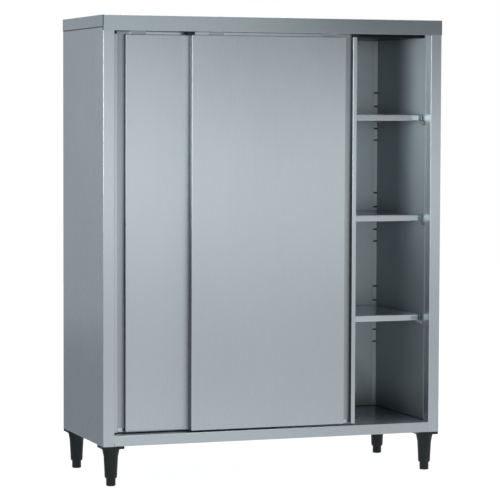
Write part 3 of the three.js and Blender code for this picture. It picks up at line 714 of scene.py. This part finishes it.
# %% Cuts and marks of the inner walls
def level_with_slots(z, reach):
    """Whether a height is within reach of the middle of a row of slots."""
    return (np.abs(z[..., None] - slot_heights) < reach).any(-1)


def in_slot(x, y, z):
    """The slots of the flange, which go on through its bend, and those of the wall."""
    in_strip = (y > strip_y - cut_past_bend) & (x > slot_start)
    in_wall = (np.abs(x - lining_x) < HAIR) & (y > front_slot[0]) & (y < front_slot[1])
    return level_with_slots(z, slot_height / 2) & (in_strip | in_wall)


def at_both_ends(x, y, z):
    """The flange and the strip at the front, which are painted paler as light, the flange as pale as the
    back beside it.
    """
    return (y > strip_y - HAIR) | (y < front_slot[1] + HAIR)


def dark_above_the_floor(z, most):
    """Painted shadow, black in the joint with the floor, and a darker tint above it that fades upwards
    from its most.
    """
    fading_out = np.clip(1 - (z - floor_top) / darkened_height, 0, 1)
    return np.where(z < floor_top + joint_height, 1, most * fading_out)


def beside_cuts(x, y, z):
    """Painted shade on the slots' edges, and the darker tint low on the wall."""
    on_flange = (y > strip_y - lining_sheet) & (np.abs(x) > slot_start - HAIR)
    on_slot = level_with_slots(z, slot_height / 2 + HAIR) & on_flange
    return np.maximum(on_slot, dark_above_the_floor(z, 0.35))


# %% Inner walls
lining_path = [
    (strip_x, strip_y), (slot_start, strip_y), (lining_x, strip_y), (lining_x, strip_y - cut_past_bend),
    (lining_x, front_slot[1]), (lining_x, front_slot[0]), (lining_x, lining_front),
    (lining_high[0], lining_front),
]
half_slot = slot_height / 2
slot_edges = slot_heights[:, None] + [-half_slot - slot_rim, -half_slot, half_slot, half_slot + slot_rim]
low_rows = floor_top + np.array([joint_height - HAIR, joint_height + 1, darkened_height])
lining_rows = np.sort([lining_foot, *low_rows, *slot_edges.ravel(), wall_top])
# Painted light on the flange and the front strip; painted shade round the slots and in the floor joint
lining_marks = {"pale": at_both_ends, "grime": beside_cuts}
for word, side in SIDES:
    part = carried(lining_path, lining_rows, lining_sheet, [side * X, Y, Z], missing=in_slot)
    make(f"side_lining_{word}", [part], wall_steel, "inner_steel", **lining_marks)

# %% [markdown]
# ## Back panel and cap
# The back is a shallow pan between the rear flanges, with its grain upright and a tint painted paler as
# light. It is painted black in the joint with the floor, as shadow, and darker above it. Its foot reaches
# down behind the floor's rounded edge, so that no light comes through the joint. The cap is a deeper pan
# over the whole cupboard, with its grain from side to side and a tint painted a little darker as shade.
# Its front skirt is deeper than the others, because it hides the track. Its corners aren't welded all the
# way: a narrow dark joint runs down beside the front skirt, and the bends of the front corners are painted
# dark as shade.

# %% Back panel
foot_reach = 3
back_low, back_high = place("back_panel")
back_low[2] -= foot_reach
back_middle, back_half = (back_low + back_high) / 2, (back_high - back_low) / 2
# Rings where the painted shadow of the floor joint and the darker tint above it change
darkened_rings = [(back_low[2] - row, 0) for row in low_rows[::-1]]


def low_on_the_back(x, y, z):
    """Painted shadow in the joint with the floor, and a darker tint low on the back."""
    return dark_above_the_floor(z, 0.5)


part = pan(
    (back_half[0], back_half[2]), [*darkened_rings, (0, 0), (0, 2 * back_half[1])], body_sheet,
    [X, Z, Y], (0, back_low[1], back_middle[2]), stops=[(1, 0.89), (1, 0.97), (3, 0.03), (3, 0.11)],
)
make("back_panel", [part], back_steel, "inner_steel", grime=low_on_the_back)

# %% Cap
FLAT_RIM = 6  # width of the outermost ring of a pan's flat
cap_half = cap_high[:2]
front_skirt = cap_high[2] - cap_low[2]
joint_width, joint_start = 0.8, 2.2
corner_y = PAN_CORNER - cap_half[1]
one_mm = 1 / (2 * cap_half)  # as a share of the cap's width and depth


def off_the_cap(y, x, depth):
    """What the side and back skirts lack of the front one's depth, and the joints beside the front skirt."""
    joint = (y < corner_y) & (y > corner_y - joint_width) & (depth > joint_start)
    return ((depth > side_skirt) & (y > corner_y)) | joint


def down_the_corners(x, y, z):
    """Painted shade on the bends of the skirt's front corners, beside the joints."""
    at_corner = (np.abs(x) > cap_half[0] - PAN_CORNER - HAIR) & (y < corner_y + HAIR)
    return at_corner & (z < cap_high[2] - IN_SHEET)


part = pan(
    cap_half[::-1], [(-FLAT_RIM, 0), (0, 0), (0, side_skirt), (0, front_skirt)], body_sheet,
    [Y, X, -Z], (0, 0, cap_high[2]), missing=off_the_cap,
    stops=[(0, 1 - one_mm[1]), (1, one_mm[0]), (1, 1 - one_mm[0]), (2, one_mm[1])],
)
make("top_cap", [part], cap_steel, "outer_steel", grime=down_the_corners)

# %% [markdown]
# ## Floor
# The floor is one long sheet bent three times: down at the back, down at the front to make the rail under
# the doors, and back under the rail to make its lip. The rail is only as long as the opening, so beyond
# it the sheet's front cells are left out. Two strips close the ends.

# %% Floor
floor_low, floor_high = place("floor_pan")
rail_half, lip_half, lip_depth, rear_bend = opening - seat_gap, 616.7, 16, 2.9
sheet_y = floor_high[1]


def off_the_floor(y, z, x):
    """The rail beyond the opening and the lip beyond the corner plates."""
    off_the_rail = (np.abs(x) > rail_half) & (y < past_bend)
    off_the_lip = (np.abs(x) > lip_half) & (y > past_bend) & (z < floor_low[2] + HAIR)
    return off_the_rail | off_the_lip


def dark_back_of_floor(x, y, z):
    """Painted shadow, black on the bend at the floor's back edge, and a half-dark tint over the back half
    of its top.
    """
    on_rear_bend = (y > sheet_y - rear_bend) & (z > floor_top - rear_bend)
    return np.where(on_rear_bend, 1, 0.5 * ((z > floor_top - IN_SHEET) & (y > 0)))


floor_path = [
    (sheet_y, carcass_low), (sheet_y, floor_top), (front_y, floor_top), (front_y, carcass_low),
    (front_y + lip_depth, carcass_low),
]
floor_stations = [-floor_high[0], -rail_half, -lip_half, lip_half, rail_half, floor_high[0]]
end_strip = [(floor_high[0], carcass_low), (floor_high[0], floor_top - body_sheet)]
floor_parts = [carried(floor_path, floor_stations, body_sheet, [Y, Z, X], missing=off_the_floor)]
for _, side in SIDES:
    floor_parts.append(carried(end_strip, [-sheet_y, sheet_y], body_sheet, [side * X, Z, Y]))
make("floor_pan", floor_parts, outer_steel, "outer_steel", grime=dark_back_of_floor)

# %% [markdown]
# ## Shelves
# A shelf is a pan laid upside down, with its rim turned in at the bottom. Along the front the rim goes on
# as a flat hem, which makes the edge stiff and blunt. Elsewhere only the curl of the bend is left.

# %% Shelves
shelf_low, shelf_high = place("shelf_1")
shelf_half, shelf_edge = (shelf_high - shelf_low)[:2] / 2, shelf_high[2] - shelf_low[2]
shelf_middle_y = (shelf_low[1] + shelf_high[1]) / 2
hem_depth, past_hem, flat_within = 12, 20, 0.01


def beyond_hem(y, x, depth):
    """The flat hem of all sides but the front."""
    return (depth > shelf_edge - flat_within) & (y > past_hem - shelf_half[1])


for number, top in enumerate(shelf_tops, start=1):
    part = pan(
        shelf_half[::-1], [(-FLAT_RIM, 0), (0, 0), (0, shelf_edge), (-hem_depth, shelf_edge)],
        body_sheet, [Y, X, -Z], (0, shelf_middle_y, top), missing=beyond_hem,
    )
    make(f"shelf_{number}", [part], shelf_steel, "inner_steel")

# %% [markdown]
# ## Doors
# A door is a shallow box: a face sheet in front, a flat sheet behind, and at one edge a handle channel
# between them, whose floor is the bottom of the finger groove and whose outer edge is the lip. The two
# doors are the same shape, mirrored, so each is described once, from its middle and its face, and set out
# with its own hand.

# %% Sizes of a door
DOORS = (("front_door", 1), ("rear_door", -1))
door_sheet, door_thickness, door_half, fold, notch = 1, 25, 342, 8, 14
panel_end, channel_overlap, lip_start = 294, 20, 325
groove_floor, groove_fold, rim_fold = 22.7, 22.4, 23.7  # depths behind the face
groove_side = 300  # across the face sheet, from its own middle
skin_fold_from, skin_short = 16, 1.3
# The first depth behind the face is where the painted shade on the folds begins
shade_from, groove_bend, lip_gap = 1.5, 2.5, 2

door_low, door_high = place("front_door_outer_skin")[0][2], place("front_door_outer_skin")[1][2]
skin_top = place("front_door_inner_skin")[1][2]
half_height = (door_high - door_low) / 2
print(f"each door is {2 * door_half} mm wide and {2 * half_height:.1f} mm high")


# %% Cuts of a door
def off_the_face(x, z, depth):
    """Top and bottom folds are narrow, the groove side is shallower, and its foot is notched."""
    ends_cut = (depth > fold) & (np.abs(z) > half_height - PAN_CORNER)
    notched = (depth > fold - door_sheet) & (z < notch - half_height)
    return ends_cut | ((x > groove_side) & ((depth > groove_fold) | notched))


def off_the_channel(x, y, z):
    """The notch for the guide, and the part of the channel that stops at the door's top."""
    notched = (z < door_low + notch) & (y > fold) & (x < door_half - door_sheet / 2)
    on_floor = (np.abs(y - groove_floor) < HAIR) & (x < lip_start + IN_SHEET)
    return notched | ((z > door_high) & ~on_floor)


def off_the_inner_skin(y, z, x):
    """The bottom fold is a little shorter than the sheet."""
    return (np.abs(x) > door_half - skin_short) & (y < door_thickness - HAIR)


# %% Doors
def make_door(name, hand):
    """Face sheet, handle channel and inner skin. With hand 1 the handle is at the right, with -1 at the left.

    Gives the door's middle across the cupboard and the place of its face."""
    inner_low, inner_high = place(f"{name}_inner_skin")
    centre, face = (inner_low[0] + inner_high[0]) / 2, inner_high[1] - door_thickness
    origin = (centre, face, 0)

    def round_the_edge(x, y, z):
        """Painted shade on the folds behind the face."""
        return 0.8 * (y - face > shade_from)

    def in_the_groove(x, y, z):
        """Painted shade on the groove's floor, and more on its wall behind the lip."""
        from_lip, depth = hand * (x - centre) - lip_start, y - face
        on_floor = (depth > groove_floor - groove_bend) & (from_lip < -lip_gap)
        return np.where(on_floor, 0.25, 0.95 * ((depth > shade_from) & (from_lip < lip_gap)))

    half = ((door_half + panel_end) / 2, half_height)
    start = (centre + hand * (panel_end - door_half) / 2, face, (door_low + door_high) / 2)
    profile = [
        (-FLAT_RIM, 0), (0, 0), (0, fold - door_sheet), (0, fold), (0, groove_fold), (0, rim_fold),
    ]
    notch_share = (notch - PAN_CORNER) / (2 * half_height - 2 * PAN_CORNER)
    part = pan(
        half, profile, door_sheet, [hand * X, Z, Y], start,
        missing=off_the_face, stops=[(3, notch_share)],
    )
    make(f"{name}_outer_skin", [part], outer_steel, "outer_steel", grime=round_the_edge)

    path = [
        (panel_end - channel_overlap, groove_floor), (lip_start, groove_floor), (lip_start, fold),
        (lip_start, 0), (door_half, 0), (door_half, fold), (door_half, rim_fold),
    ]
    rows = [door_low, door_low + notch, door_high, skin_top]
    part = carried(path, rows, door_sheet, [hand * X, Y, Z], origin, missing=off_the_channel)
    make(f"{name}_handle_channel", [part], outer_steel, "outer_steel", grime=in_the_groove)

    path = [(skin_fold_from, door_low), (door_thickness, door_low), (door_thickness, skin_top)]
    stations = [-door_half, skin_short - door_half, door_half - skin_short, door_half]
    part = carried(path, stations, door_sheet, [Y, Z, X], origin, missing=off_the_inner_skin)
    upright = part[4][:, ::-1]
    make(f"{name}_inner_skin", [(*part[:4], upright, part[5])], shelf_steel, "inner_steel")
    return centre, face


door_places = [make_door(name, hand) for name, hand in DOORS]
for (name, _), (centre, face) in zip(DOORS, door_places):
    print(name, "centre", centre, "face", face)

# %% [markdown]
# ## Buffers and guide
# Black buffers sit on the doors' top corners and soften the stop at the stiles. A guide on the middle of
# the floor has one fin inside each door. They are small moulded blocks, so each is a solid of rings with
# eased edges.


# %% Buffers and guide
def block(low, high, corner=1.5):
    """Moulded block between two corners in millimetres."""
    low, high = np.asarray(low, float), np.asarray(high, float)
    middle, half = (low + high) / 2, (high - low) / 2
    inset = corner + 1
    profile = [(-inset, -half[2]), (0, -half[2]), (0, half[2]), (-inset, half[2])]
    return solid(half[:2], corner, profile, origin=middle, steps=4)


for name, _ in DOORS:
    for word, _ in SIDES:
        buffer = f"{name}_buffer_{word}"
        make(buffer, [block(*place(buffer))], nylon, "black_nylon")

guide_base, fin_front, fin_back = 2.5, 9.5, 14.5
guide_low, guide_high = place("bottom_guide")
guide_parts = [block(guide_low, (*guide_high[:2], guide_low[2] + guide_base))]
for _, face in door_places:
    fin_low = (guide_low[0], face + fin_front, guide_low[2] + 1)
    guide_parts.append(block(fin_low, (guide_high[0], face + fin_back, guide_high[2]), corner=1))
make("bottom_guide", guide_parts, nylon, "black_nylon")

# %% [markdown]
# ## Legs and feet
# A leg is moulded: a square plate that bolts under the corner, a neck that narrows to a straight sleeve,
# and a rounded end. The foot screws in and out of it. Both are profiles turned round an axis, and the
# square plate is a block with rounded corners. The bore in the leg is part of its profile, so the foot's
# stem has room.

# %% Profiles of a leg and a foot
POLE = 0.5  # radius at which a turned profile ends, where one flat face closes it
leg_radius, neck_radius, waist_radius, waist_drop, neck_bend = 35, 34.5, 28, 42, 12
shank_radius, shank_low, shank_high, end_radius = 24.5, 44, 50, 21
bore_radius, bore_top = 5.3, 96
plate_thickness, plate_corner, plate_inset = 10, 5, 8
stud_radius, stud_inset = 5, 4.5
foot_radius, foot_height, foot_bevel, stem_radius, stem_top = 18.3, 30, 2.5, 5, 92

leg_foot = place("leg_front_left")[0][2]
plate_top = carcass_low - seat_gap
plate_low = plate_top - plate_thickness
round_end = np.radians(np.linspace(0, 90, 13))
end_curve = np.stack([
    end_radius + (shank_radius - end_radius) * np.sin(round_end),
    shank_low - (shank_low - leg_foot) * np.cos(round_end),
], 1)
bore = [(POLE, bore_top), (bore_radius, bore_top), (bore_radius, leg_foot)]
neck_curve = bend([
    (shank_radius, shank_high), (waist_radius, carcass_low - waist_drop),
    (neck_radius, plate_low), (neck_radius, plate_top),
], 0, neck_bend)[0][1:-1]
leg_profile = np.vstack([bore, end_curve, neck_curve, [(neck_radius, plate_top), (POLE, plate_top)]])
foot_profile = bend([
    (POLE, 0), (foot_radius - foot_bevel, 0), (foot_radius, foot_bevel), (foot_radius, foot_height),
    (stem_radius, foot_height), (stem_radius, stem_top), (POLE, stem_top),
], 0, 0.9, steps=3)[0]
print(f"profiles of {len(leg_profile)} and {len(foot_profile)} points")


# %% Legs and feet
def turned(radius, profile, axis, steps):
    """A profile of (radius, height) points turned round an upright axis."""
    return solid((radius, radius), radius, profile - [radius, 0], origin=axis, ease=0, steps=steps)


def plug(half, corner, inset, low, high, axis, ease=0.6):
    """A plate or a pin between two heights. The inset is the width of its ends' outermost ring."""
    profile = [(-inset, low), (0, low), (0, high), (-inset, high)]
    return solid(half, corner, profile, origin=axis, ease=ease)


for row in ("front", "back"):
    for word, _ in SIDES:
        low, high = place(f"leg_{row}_{word}")
        axis = (*(low + high)[:2] / 2, 0)
        sleeve = turned(leg_radius, leg_profile, axis, steps=10)
        plate = plug((high - low)[:2] / 2, plate_corner, plate_inset, plate_low, plate_top, axis, ease=1)
        stud = plug((stud_radius, stud_radius), stud_radius, stud_inset, plate_top - 1, high[2], axis)
        make(f"leg_{row}_{word}", [sleeve, plate, stud], leg_plastic, "black_plastic")
        screwed_in = turned(foot_radius, foot_profile, axis, steps=9)
        make(f"foot_{row}_{word}", [screwed_in], leg_plastic, "black_plastic")

# %% [markdown]
# ## Pieces that keep their own shape
# The track, the ceiling, the clips, the ribs, the hangers, the rollers and what is under the floor are
# already right in the frame, and mostly out of sight. They keep their meshes and only get a finish.

# %% Finishes for the other nodes
own_shape = {
    # The ceiling's nearly black steel is painted shade
    "ceiling_panel": plain_steel,
    "door_track": aluminium,
    "shelf_clip": zinc,
    "shelf_rib": zinc,
    "floor_stiffener": zinc,
    "corner_plate": zinc,
    "_hanger_": hanger_steel,
    "_roller_": nylon,
}
stood_for = {piece.name.removesuffix("_finished") for piece in made_so_far}
for name, node in nodes.items():
    if name not in stood_for:
        finish = next(finish for part_of_name, finish in own_shape.items() if part_of_name in name)
        node.data.materials.clear()
        node.data.materials.append(finish)
print(f"{len(stood_for)} nodes are stood for, {len(nodes) - len(stood_for)} keep their own mesh")

# %% [markdown]
# ## Floor, lamps and surroundings
# Brushed steel shows its surroundings more than its lamps. The world is plain white to the camera and to
# reflections, and a softer grey to everything else, so that colours come out about as written. A studio
# also puts cards round polished things, to give their faces different tones. Lamps alone would leave hard
# spots on the doors. Here a large card in front, which fades towards the ceiling and to the right, is
# what the doors mirror. A dim one stands at the left, a grey one behind it is what the side panel
# mirrors, and two lie on the floor. Only reflections see them.

# %% World and floor
scene = bpy.context.scene
scene.view_settings.view_transform = "Standard"


def seen_directly(tree):
    """1 for rays from the camera, from a reflection or through glass, and 0 for the others."""
    path = add(tree, "LightPath").outputs
    direct = combine(tree, "MAXIMUM", path["Is Camera Ray"], path["Is Glossy Ray"])
    return combine(tree, "MAXIMUM", direct, path["Is Transmission Ray"])


def white_world():
    """Plain white where it is seen directly, and a softer light on everything else."""
    world = bpy.data.worlds.new("studio")
    world.use_nodes = True
    tree = world.node_tree
    soft = tree.nodes["Background"]
    feed(tree, soft.inputs["Color"], (0.94, 0.97, 1, 1))
    feed(tree, soft.inputs["Strength"], 0.6)
    white = add(tree, "Background", {"Color": (1, 1, 1, 1), "Strength": 1})
    mixed = add(tree, "MixShader", {0: seen_directly(tree), 1: soft.outputs[0], 2: white.outputs[0]})
    feed(tree, tree.nodes["World Output"].inputs["Surface"], mixed.outputs[0])
    return world


def floor_paint():
    """Pale paint that glows where it is seen directly, so that it meets the white world without a line."""
    material, tree, paint = new_finish("pale_floor")
    feed(tree, paint.inputs["Base Color"], (0.9, 0.9, 0.9, 1))
    feed(tree, paint.inputs["Roughness"], 0.9)
    shine = add(tree, "Emission", {"Strength": 1.15})
    share = combine(tree, "MULTIPLY", seen_directly(tree), 0.82)
    mixed = add(tree, "MixShader", {0: share, 1: paint.outputs[0], 2: shine.outputs[0]})
    feed(tree, tree.nodes["Material Output"].inputs["Surface"], mixed.outputs[0])
    return material


def card(name, corners, material, only_mirrored=True):
    """A flat four-cornered card that belongs to the studio, in metres."""
    mesh = bpy.data.meshes.new(name)
    mesh.from_pydata(corners, [], [(0, 1, 2, 3)])
    mesh.materials.append(material)
    made = bpy.data.objects.new(name, mesh)
    scene.collection.objects.link(made)
    if only_mirrored:
        made.visible_camera = made.visible_diffuse = made.visible_shadow = made.visible_transmission = False
    made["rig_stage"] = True
    return made


scene.world = white_world()
studio_corners = [(-12, -14, 0), (12, -14, 0), (12, 10, 0), (-12, 10, 0)]
ground = card("studio_floor", studio_corners, floor_paint(), only_mirrored=False)
print(scene.world.name, "world,", ground.name)


# %% Cards
def glowing(name, strength):
    """A material that glows with a fixed cool grey, or with what a function of the tree makes of X and Z."""
    material, tree, _ = new_finish(name)
    glow = add(tree, "Emission")
    if callable(strength):
        where = add(tree, "TexCoord").outputs["Object"]
        axes = add(tree, "SeparateXYZ", {"Vector": where}).outputs
        strength = strength(tree, axes["X"], axes["Z"])
    else:
        feed(tree, glow.inputs["Color"], (0.94, 1, 1.04, 1))
    feed(tree, glow.inputs["Strength"], strength)
    feed(tree, tree.nodes["Material Output"].inputs["Surface"], glow.outputs[0])
    return material


def fading(tree, x, z):
    """Brightest at chest height on the left, fading to the ceiling, and dark high up on the right."""
    from_floor, to_ceiling = spread(tree, z, 0, 0.8, 0.84, 1.15), spread(tree, z, 1.1, 2.4, 1.15, 0.6)
    bright = combine(tree, "MINIMUM", from_floor, to_ceiling)
    to_right, upwards = spread(tree, x, 1.5, 2.6, 0, 1), spread(tree, z, 1.35, 2.1, 0, 0.97)
    dark = combine(tree, "MULTIPLY", to_right, upwards)
    across = spread(tree, x, -0.5, 4.2, 1.28, 0.75)
    lit = combine(tree, "MULTIPLY", across, combine(tree, "SUBTRACT", 1, dark))
    lit = combine(tree, "MULTIPLY", spread(tree, x, -3.5, -1.3, 0.3, 1), lit)
    return combine(tree, "MULTIPLY", bright, lit)


def standing_card(name, start, end, top, material):
    """A card that stands between two places, from just above the floor up to its top."""
    return card(name, [(*start, 0.01), (*end, 0.01), (*end, top), (*start, top)], material)


def lying_card(name, spots, material):
    """A card that lies just above the floor, with its corners over four places."""
    return card(name, [(*spot, 0.005) for spot in spots], material)


faded = glowing("card_fading", fading)
front_left, side_left = (-5, -5.3), (-7, -1.5)
cards = [
    standing_card("card_front", front_left, (9, -5.3), 5, faded),
    standing_card("card_left", front_left, side_left, 5, glowing("card_dim", 0.35)),
    standing_card("card_behind_left", (-7, 1.5), (-0.5, 8), 4.5, glowing("card_grey", 0.58)),
    lying_card("card_low_left", [side_left, (-0.8, -0.3), (-0.8, 8), (-7, 8)], glowing("card_low", 0.42)),
    lying_card("card_low_front", [(-6, -5.2), (8, -5.2), (8, -0.5), (-0.8, -0.5)], faded),
]
print("cards:", *(made.name for made in cards))


# %% Lamps
def lamp(name, spot, aim, size, power, beam=180):
    """A soft square lamp that the camera doesn't see. The beam's width is in degrees."""
    light = bpy.data.lights.new(name, "AREA")
    light.shape = "RECTANGLE"
    light.size, light.size_y = size
    light.energy, light.spread = power, np.radians(beam)
    made = bpy.data.objects.new(name, light)
    scene.collection.objects.link(made)
    made.visible_camera = False
    back = np.array(spot, float) - aim
    back /= np.linalg.norm(back)
    sideways = np.cross([0, 0, 1], back)
    sideways /= np.linalg.norm(sideways)
    place_in_room = np.eye(4)
    place_in_room[:3] = np.column_stack([sideways, np.cross(back, sideways), back, spot])
    made.matrix_world = Matrix(place_in_room)
    print(name, power, "W")


lamp("lamp_front_left", (-2.75, -2.4, 1.5), (0.4, -0.1, 1.5), (1.5, 1.1), power=6.3, beam=60)
lamp("lamp_above", (0.3, -0.8, 4.6), (0, 0, 0), (3.2, 2.4), power=90)

# %% [markdown]
# ## The size
# The box round the dressed cupboard is printed. It has to stay inside the frame's box.
# The dressed cupboard has to stay inside the frame's box.

# %% Size
low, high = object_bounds()
print("visual box", np.round(low, 4), np.round(high, 4))
